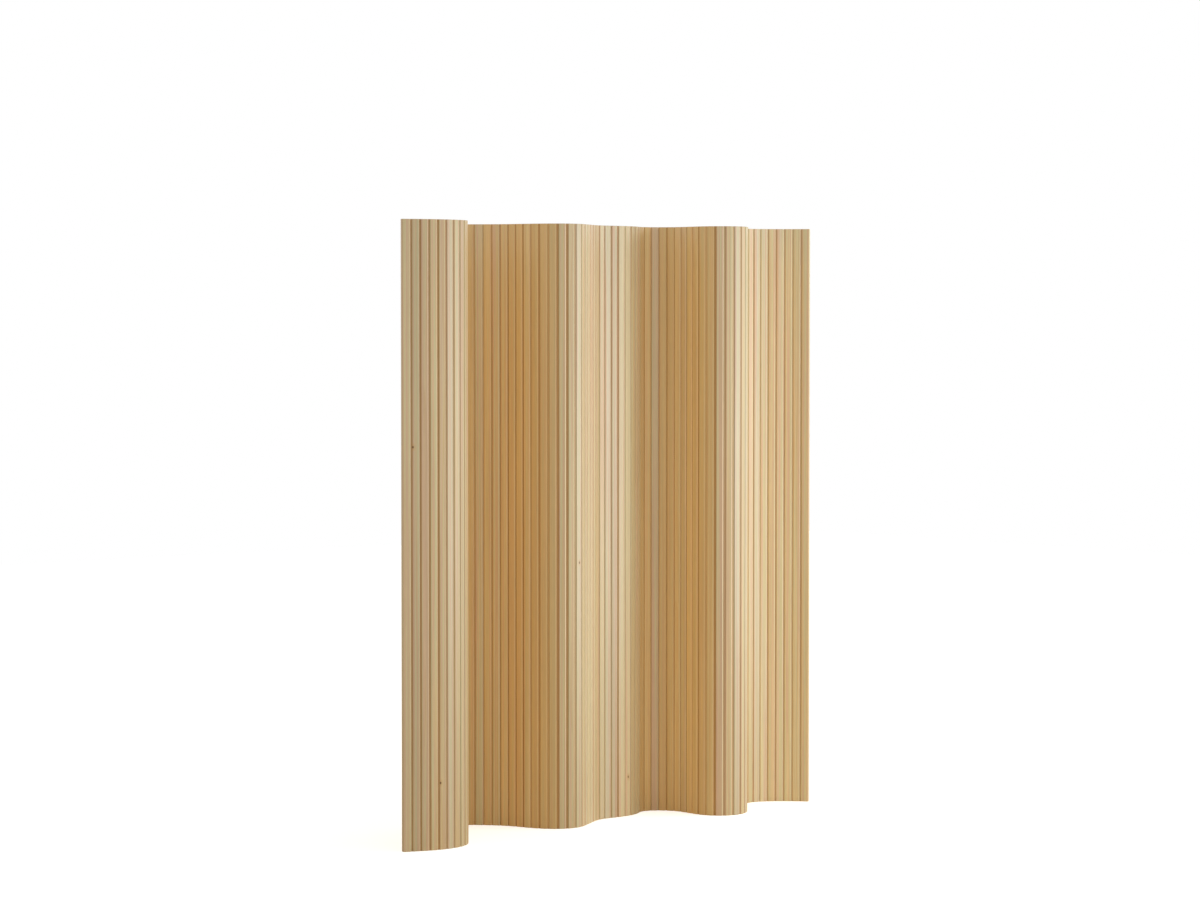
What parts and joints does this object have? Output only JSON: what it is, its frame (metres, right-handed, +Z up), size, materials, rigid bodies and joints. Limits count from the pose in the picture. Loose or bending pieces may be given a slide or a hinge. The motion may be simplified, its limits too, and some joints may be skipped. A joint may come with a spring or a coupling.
{
  "type": "flexible wooden slat screen",
  "caption": "Free-standing flexible room screen of upright pine slats that turn on each other, strung on steel wires and standing in loose folds.",
  "frame": {"origin": "on the floor, at the middle of the box round the standing screen", "axes": "+Z up along the slats, +X from the screen's left end to its right end, the front faces -Y"},
  "size_m": [1.3462, 0.3642, 1.5],
  "materials": {
    "pine": "clear satin lacquer on planed pine",
    "pine_plug": "clear satin lacquer",
    "steel_wire": "stranded wire, bright",
    "washer_steel": "zinc plated",
    "sleeve_aluminium": "crimped, matt"
  },
  "bodies": {
    "slats_46_49": {"slats_46_49": "pine", "wires": "steel_wire"},
    "slats_01_03": {"slats_01_03": "pine", "washers_left": "washer_steel", "stop_sleeves_left": "sleeve_aluminium", "plugs_left": "pine_plug"},
    "slat_04": {"slat_04": "pine"},
    "slat_05": {"slat_05": "pine"},
    "slat_06": {"slat_06": "pine"},
    "slat_07": {"slat_07": "pine"},
    "slat_08": {"slat_08": "pine"},
    "slat_09": {"slat_09": "pine"},
    "slats_10_11": {"slats_10_11": "pine"},
    "slats_12_13": {"slats_12_13": "pine"},
    "slats_14_15": {"slats_14_15": "pine"},
    "slats_16_19": {"slats_16_19": "pine"},
    "slats_20_21": {"slats_20_21": "pine"},
    "slats_22_23": {"slats_22_23": "pine"},
    "slats_24_25": {"slats_24_25": "pine"},
    "slats_26_27": {"slats_26_27": "pine"},
    "slats_28_29": {"slats_28_29": "pine"},
    "slats_30_33": {"slats_30_33": "pine"},
    "slats_34_35": {"slats_34_35": "pine"},
    "slats_36_37": {"slats_36_37": "pine"},
    "slats_38_39": {"slats_38_39": "pine"},
    "slat_40": {"slat_40": "pine"},
    "slat_41": {"slat_41": "pine"},
    "slat_42": {"slat_42": "pine"},
    "slat_43": {"slat_43": "pine"},
    "slat_44": {"slat_44": "pine"},
    "slat_45": {"slat_45": "pine"},
    "slats_50_51": {"slats_50_51": "pine"},
    "slats_52_54": {"slats_52_54": "pine"},
    "slats_55_56": {"slats_55_56": "pine"},
    "slats_57_58": {"slats_57_58": "pine"},
    "slat_59": {"slat_59": "pine"},
    "slat_60": {"slat_60": "pine"},
    "slat_61": {"slat_61": "pine"},
    "slat_62": {"slat_62": "pine"},
    "slats_63_64": {"slats_63_64": "pine"},
    "slats_65_67": {"slats_65_67": "pine"},
    "slats_68_69": {"slats_68_69": "pine"},
    "slat_70": {"slat_70": "pine"},
    "slat_71": {"slat_71": "pine"},
    "slat_72": {"slat_72": "pine"},
    "slat_73": {"slat_73": "pine"},
    "slat_74": {"slat_74": "pine"},
    "slats_75_76": {"slats_75_76": "pine"},
    "slats_77_78": {"slats_77_78": "pine"},
    "slats_79_81": {"slats_79_81": "pine"},
    "slat_82": {"slat_82": "pine"},
    "slat_83": {"slat_83": "pine"},
    "slat_84": {"slat_84": "pine"},
    "slat_85": {"slat_85": "pine"},
    "slats_86_87": {"slats_86_87": "pine"},
    "slats_88_90": {"slats_88_90": "pine", "washers_right": "washer_steel", "stop_sleeves_right": "sleeve_aluminium", "plugs_right": "pine_plug"}
  },
  "joints": [
    {"name": "joint_49_50", "type": "hinge", "parent": "slats_46_49", "child": "slats_50_51", "pos_m": [0.00827, -0.02049, 0.75], "axis": [0, 0, 1], "range_deg": [-21, 39]},
    {"name": "joint_51_52", "type": "hinge", "parent": "slats_50_51", "child": "slats_52_54", "pos_m": [0.0506, -0.00807, 0.75], "axis": [0, 0, 1], "range_deg": [-19, 41]},
    {"name": "joint_54_55", "type": "hinge", "parent": "slats_52_54", "child": "slats_55_56", "pos_m": [0.11719, -0.00941, 0.75], "axis": [0, 0, 1], "range_deg": [-40, 20]},
    {"name": "fold_flank_step", "type": "hinge", "parent": "slats_55_56", "child": "slats_57_58", "pos_m": [0.16013, 0.00118, 0.75], "axis": [0, 0, 1], "range_deg": [-20, 10]},
    {"name": "joint_58_59", "type": "hinge", "parent": "slats_57_58", "child": "slat_59", "pos_m": [0.19687, 0.02581, 0.75], "axis": [0, 0, -1], "range_deg": [-56, 4]},
    {"name": "joint_59_60", "type": "hinge", "parent": "slat_59", "child": "slat_60", "pos_m": [0.21851, 0.03075, 0.75], "axis": [0, 0, -1], "range_deg": [-56, 4]},
    {"name": "joint_60_61", "type": "hinge", "parent": "slat_60", "child": "slat_61", "pos_m": [0.24013, 0.02569, 0.75], "axis": [0, 0, -1], "range_deg": [-48, 12]},
    {"name": "joint_61_62", "type": "hinge", "parent": "slat_61", "child": "slat_62", "pos_m": [0.25913, 0.01421, 0.75], "axis": [0, 0, -1], "range_deg": [-48, 12]},
    {"name": "joint_62_63", "type": "hinge", "parent": "slat_62", "child": "slats_63_64", "pos_m": [0.27365, -0.00258, 0.75], "axis": [0, 0, -1], "range_deg": [-43, 17]},
    {"name": "fold_second_hollow", "type": "hinge", "parent": "slats_63_64", "child": "slats_65_67", "pos_m": [0.28895, -0.04386, 0.75], "axis": [0, 0, -1], "range_deg": [-20.5, 3.15]},
    {"name": "joint_67_68", "type": "hinge", "parent": "slats_65_67", "child": "slats_68_69", "pos_m": [0.28878, -0.11046, 0.75], "axis": [0, 0, 1], "range_deg": [-42, 18]},
    {"name": "joint_69_70", "type": "hinge", "parent": "slats_68_69", "child": "slat_70", "pos_m": [0.30404, -0.15163, 0.75], "axis": [0, 0, 1], "range_deg": [-50, 10]},
    {"name": "joint_70_71", "type": "hinge", "parent": "slat_70", "child": "slat_71", "pos_m": [0.32076, -0.16624, 0.75], "axis": [0, 0, 1], "range_deg": [-50, 10]},
    {"name": "joint_71_72", "type": "hinge", "parent": "slat_71", "child": "slat_72", "pos_m": [0.34146, -0.17425, 0.75], "axis": [0, 0, 1], "range_deg": [-50, 10]},
    {"name": "joint_72_73", "type": "hinge", "parent": "slat_72", "child": "slat_73", "pos_m": [0.36366, -0.17469, 0.75], "axis": [0, 0, 1], "range_deg": [-50, 10]},
    {"name": "joint_73_74", "type": "hinge", "parent": "slat_73", "child": "slat_74", "pos_m": [0.38467, -0.16752, 0.75], "axis": [0, 0, 1], "range_deg": [-44, 16]},
    {"name": "fold_second_ridge", "type": "hinge", "parent": "slat_74", "child": "slats_75_76", "pos_m": [0.40332, -0.15548, 0.75], "axis": [0, 0, 1], "range_deg": [-18.5, 6.17]},
    {"name": "joint_76_77", "type": "hinge", "parent": "slats_75_76", "child": "slats_77_78", "pos_m": [0.43092, -0.12097, 0.75], "axis": [0, 0, 1], "range_deg": [-34, 26]},
    {"name": "joint_78_79", "type": "hinge", "parent": "slats_77_78", "child": "slats_79_81", "pos_m": [0.45255, -0.08219, 0.75], "axis": [0, 0, -1], "range_deg": [-38, 22]},
    {"name": "joint_81_82", "type": "hinge", "parent": "slats_79_81", "child": "slat_82", "pos_m": [0.50156, -0.0383, 0.75], "axis": [0, 0, -1], "range_deg": [-44, 16]},
    {"name": "fold_right_end", "type": "hinge", "parent": "slat_82", "child": "slat_83", "pos_m": [0.5228, -0.03187, 0.75], "axis": [0, 0, -1], "range_deg": [-14, 8.4]},
    {"name": "joint_83_84", "type": "hinge", "parent": "slat_83", "child": "slat_84", "pos_m": [0.54498, -0.03077, 0.75], "axis": [0, 0, -1], "range_deg": [-44, 16]},
    {"name": "joint_84_85", "type": "hinge", "parent": "slat_84", "child": "slat_85", "pos_m": [0.56676, -0.03506, 0.75], "axis": [0, 0, -1], "range_deg": [-44, 16]},
    {"name": "joint_85_86", "type": "hinge", "parent": "slat_85", "child": "slats_86_87", "pos_m": [0.58685, -0.0445, 0.75], "axis": [0, 0, -1], "range_deg": [-38, 22]},
    {"name": "joint_87_88", "type": "hinge", "parent": "slats_86_87", "child": "slats_88_90", "pos_m": [0.62265, -0.07066, 0.75], "axis": [0, 0, -1], "range_deg": [-34, 26]},
    {"name": "joint_45_46", "type": "hinge", "parent": "slats_46_49", "child": "slat_45", "pos_m": [-0.06716, -0.06734, 0.75], "axis": [0, 0, -1], "range_deg": [-32, 28]},
    {"name": "fold_first_ridge_right", "type": "hinge", "parent": "slat_45", "child": "slat_44", "pos_m": [-0.08642, -0.07839, 0.75], "axis": [0, 0, -1], "range_deg": [-19, 9]},
    {"name": "fold_first_ridge_crest", "type": "hinge", "parent": "slat_44", "child": "slat_43", "pos_m": [-0.10822, -0.08257, 0.75], "axis": [0, 0, -1], "range_deg": [-19, 9], "deforming": ["wires"]},
    {"name": "joint_42_43", "type": "hinge", "parent": "slat_43", "child": "slat_42", "pos_m": [-0.1302, -0.07942, 0.75], "axis": [0, 0, -1], "range_deg": [-49, 11]},
    {"name": "joint_41_42", "type": "hinge", "parent": "slat_42", "child": "slat_41", "pos_m": [-0.14995, -0.06929, 0.75], "axis": [0, 0, -1], "range_deg": [-49, 11]},
    {"name": "fold_first_ridge_left", "type": "hinge", "parent": "slat_41", "child": "slat_40", "pos_m": [-0.16533, -0.05328, 0.75], "axis": [0, 0, -1], "range_deg": [-10, 4.74]},
    {"name": "joint_39_40", "type": "hinge", "parent": "slat_40", "child": "slats_38_39", "pos_m": [-0.17769, -0.03484, 0.75], "axis": [0, 0, -1], "range_deg": [-40, 20]},
    {"name": "joint_37_38", "type": "hinge", "parent": "slats_38_39", "child": "slats_36_37", "pos_m": [-0.19347, 0.0066, 0.75], "axis": [0, 0, -1], "range_deg": [-32, 28]},
    {"name": "joint_35_36", "type": "hinge", "parent": "slats_36_37", "child": "slats_34_35", "pos_m": [-0.20816, 0.04841, 0.75], "axis": [0, 0, 1], "range_deg": [-36, 24]},
    {"name": "joint_33_34", "type": "hinge", "parent": "slats_34_35", "child": "slats_30_33", "pos_m": [-0.23187, 0.08585, 0.75], "axis": [0, 0, 1], "range_deg": [-36, 24]},
    {"name": "joint_29_30", "type": "hinge", "parent": "slats_30_33", "child": "slats_28_29", "pos_m": [-0.29601, 0.14704, 0.75], "axis": [0, 0, 1], "range_deg": [-35, 25]},
    {"name": "joint_27_28", "type": "hinge", "parent": "slats_28_29", "child": "slats_26_27", "pos_m": [-0.33464, 0.16859, 0.75], "axis": [0, 0, 1], "range_deg": [-41, 19]},
    {"name": "fold_back_bend_right", "type": "hinge", "parent": "slats_26_27", "child": "slats_24_25", "pos_m": [-0.37842, 0.17486, 0.75], "axis": [0, 0, 1], "range_deg": [-23, 6.57]},
    {"name": "fold_back_bend_left", "type": "hinge", "parent": "slats_24_25", "child": "slats_22_23", "pos_m": [-0.42102, 0.16357, 0.75], "axis": [0, 0, 1], "range_deg": [-28, 8]},
    {"name": "joint_21_22", "type": "hinge", "parent": "slats_22_23", "child": "slats_20_21", "pos_m": [-0.45333, 0.1336, 0.75], "axis": [0, 0, 1], "range_deg": [-44, 16]},
    {"name": "joint_19_20", "type": "hinge", "parent": "slats_20_21", "child": "slats_16_19", "pos_m": [-0.46779, 0.09197, 0.75], "axis": [0, 0, 1], "range_deg": [-44, 16]},
    {"name": "joint_15_16", "type": "hinge", "parent": "slats_16_19", "child": "slats_14_15", "pos_m": [-0.45799, 0.00387, 0.75], "axis": [0, 0, 1], "range_deg": [-31, 29]},
    {"name": "joint_13_14", "type": "hinge", "parent": "slats_14_15", "child": "slats_12_13", "pos_m": [-0.45117, -0.03995, 0.75], "axis": [0, 0, -1], "range_deg": [-38, 22]},
    {"name": "joint_11_12", "type": "hinge", "parent": "slats_12_13", "child": "slats_10_11", "pos_m": [-0.4578, -0.08356, 0.75], "axis": [0, 0, -1], "range_deg": [-43, 17]},
    {"name": "joint_09_10", "type": "hinge", "parent": "slats_10_11", "child": "slat_09", "pos_m": [-0.48289, -0.11985, 0.75], "axis": [0, 0, -1], "range_deg": [-43, 17]},
    {"name": "fold_left_end", "type": "hinge", "parent": "slat_09", "child": "slat_08", "pos_m": [-0.50088, -0.13285, 0.75], "axis": [0, 0, -1], "range_deg": [-12, 6.92]},
    {"name": "joint_07_08", "type": "hinge", "parent": "slat_08", "child": "slat_07", "pos_m": [-0.52119, -0.14182, 0.75], "axis": [0, 0, -1], "range_deg": [-42, 18]},
    {"name": "joint_06_07", "type": "hinge", "parent": "slat_07", "child": "slat_06", "pos_m": [-0.54291, -0.14638, 0.75], "axis": [0, 0, -1], "range_deg": [-38, 22]},
    {"name": "joint_05_06", "type": "hinge", "parent": "slat_06", "child": "slat_05", "pos_m": [-0.56506, -0.14787, 0.75], "axis": [0, 0, -1], "range_deg": [-38, 22]},
    {"name": "joint_04_05", "type": "hinge", "parent": "slat_05", "child": "slat_04", "pos_m": [-0.58721, -0.14626, 0.75], "axis": [0, 0, -1], "range_deg": [-38, 22]},
    {"name": "joint_03_04", "type": "hinge", "parent": "slat_04", "child": "slats_01_03", "pos_m": [-0.60891, -0.14159, 0.75], "axis": [0, 0, -1], "range_deg": [-38, 22]}
  ],
  "couplings": [
    {"joint": "joint_49_50", "follows": "fold_flank_step", "ratio": -0.775},
    {"joint": "joint_51_52", "follows": "fold_flank_step", "ratio": -0.875},
    {"joint": "joint_54_55", "follows": "fold_flank_step", "ratio": 0.75},
    {"joint": "joint_58_59", "follows": "fold_second_hollow", "ratio": 1.0244},
    {"joint": "joint_59_60", "follows": "fold_second_hollow", "ratio": 1.2683},
    {"joint": "joint_60_61", "follows": "fold_second_hollow", "ratio": 0.87805},
    {"joint": "joint_61_62", "follows": "fold_second_hollow", "ratio": 0.87805},
    {"joint": "joint_62_63", "follows": "fold_second_hollow", "ratio": 1},
    {"joint": "joint_67_68", "follows": "fold_second_ridge", "ratio": 1.1081},
    {"joint": "joint_69_70", "follows": "fold_second_ridge", "ratio": 1.5405},
    {"joint": "joint_70_71", "follows": "fold_second_ridge", "ratio": 1.0811},
    {"joint": "joint_71_72", "follows": "fold_second_ridge", "ratio": 1.0811},
    {"joint": "joint_72_73", "follows": "fold_second_ridge", "ratio": 1.0811},
    {"joint": "joint_73_74", "follows": "fold_second_ridge", "ratio": 0.75676},
    {"joint": "joint_76_77", "follows": "fold_second_ridge", "ratio": 0.51351},
    {"joint": "joint_78_79", "follows": "fold_right_end", "ratio": 1.3571},
    {"joint": "joint_81_82", "follows": "fold_right_end", "ratio": 1.7857},
    {"joint": "joint_83_84", "follows": "fold_right_end", "ratio": 1},
    {"joint": "joint_84_85", "follows": "fold_right_end", "ratio": 1},
    {"joint": "joint_85_86", "follows": "fold_right_end", "ratio": 0.78571},
    {"joint": "joint_87_88", "follows": "fold_right_end", "ratio": 0.71429},
    {"joint": "joint_45_46", "follows": "fold_first_ridge_right", "ratio": 0.10526},
    {"joint": "joint_42_43", "follows": "fold_first_ridge_crest", "ratio": 1},
    {"joint": "joint_41_42", "follows": "fold_first_ridge_crest", "ratio": 1},
    {"joint": "joint_39_40", "follows": "fold_first_ridge_left", "ratio": 1.3},
    {"joint": "joint_37_38", "follows": "fold_first_ridge_left", "ratio": 0.15},
    {"joint": "joint_35_36", "follows": "fold_back_bend_right", "ratio": 0.56522},
    {"joint": "joint_33_34", "follows": "fold_back_bend_right", "ratio": 0.6087},
    {"joint": "joint_29_30", "follows": "fold_back_bend_right", "ratio": 0.63043},
    {"joint": "joint_27_28", "follows": "fold_back_bend_right", "ratio": 0.91304},
    {"joint": "joint_21_22", "follows": "fold_back_bend_left", "ratio": 1},
    {"joint": "joint_19_20", "follows": "fold_back_bend_left", "ratio": 0.91071},
    {"joint": "joint_15_16", "follows": "fold_back_bend_left", "ratio": 0.08929},
    {"joint": "joint_13_14", "follows": "fold_left_end", "ratio": 1.4583},
    {"joint": "joint_11_12", "follows": "fold_left_end", "ratio": 2.1667},
    {"joint": "joint_09_10", "follows": "fold_left_end", "ratio": 1.625},
    {"joint": "joint_07_08", "follows": "fold_left_end", "ratio": 1},
    {"joint": "joint_06_07", "follows": "fold_left_end", "ratio": 0.66667},
    {"joint": "joint_05_06", "follows": "fold_left_end", "ratio": 0.66667},
    {"joint": "joint_04_05", "follows": "fold_left_end", "ratio": 0.66667},
    {"joint": "joint_03_04", "follows": "fold_left_end", "ratio": 0.66667}
  ]
}
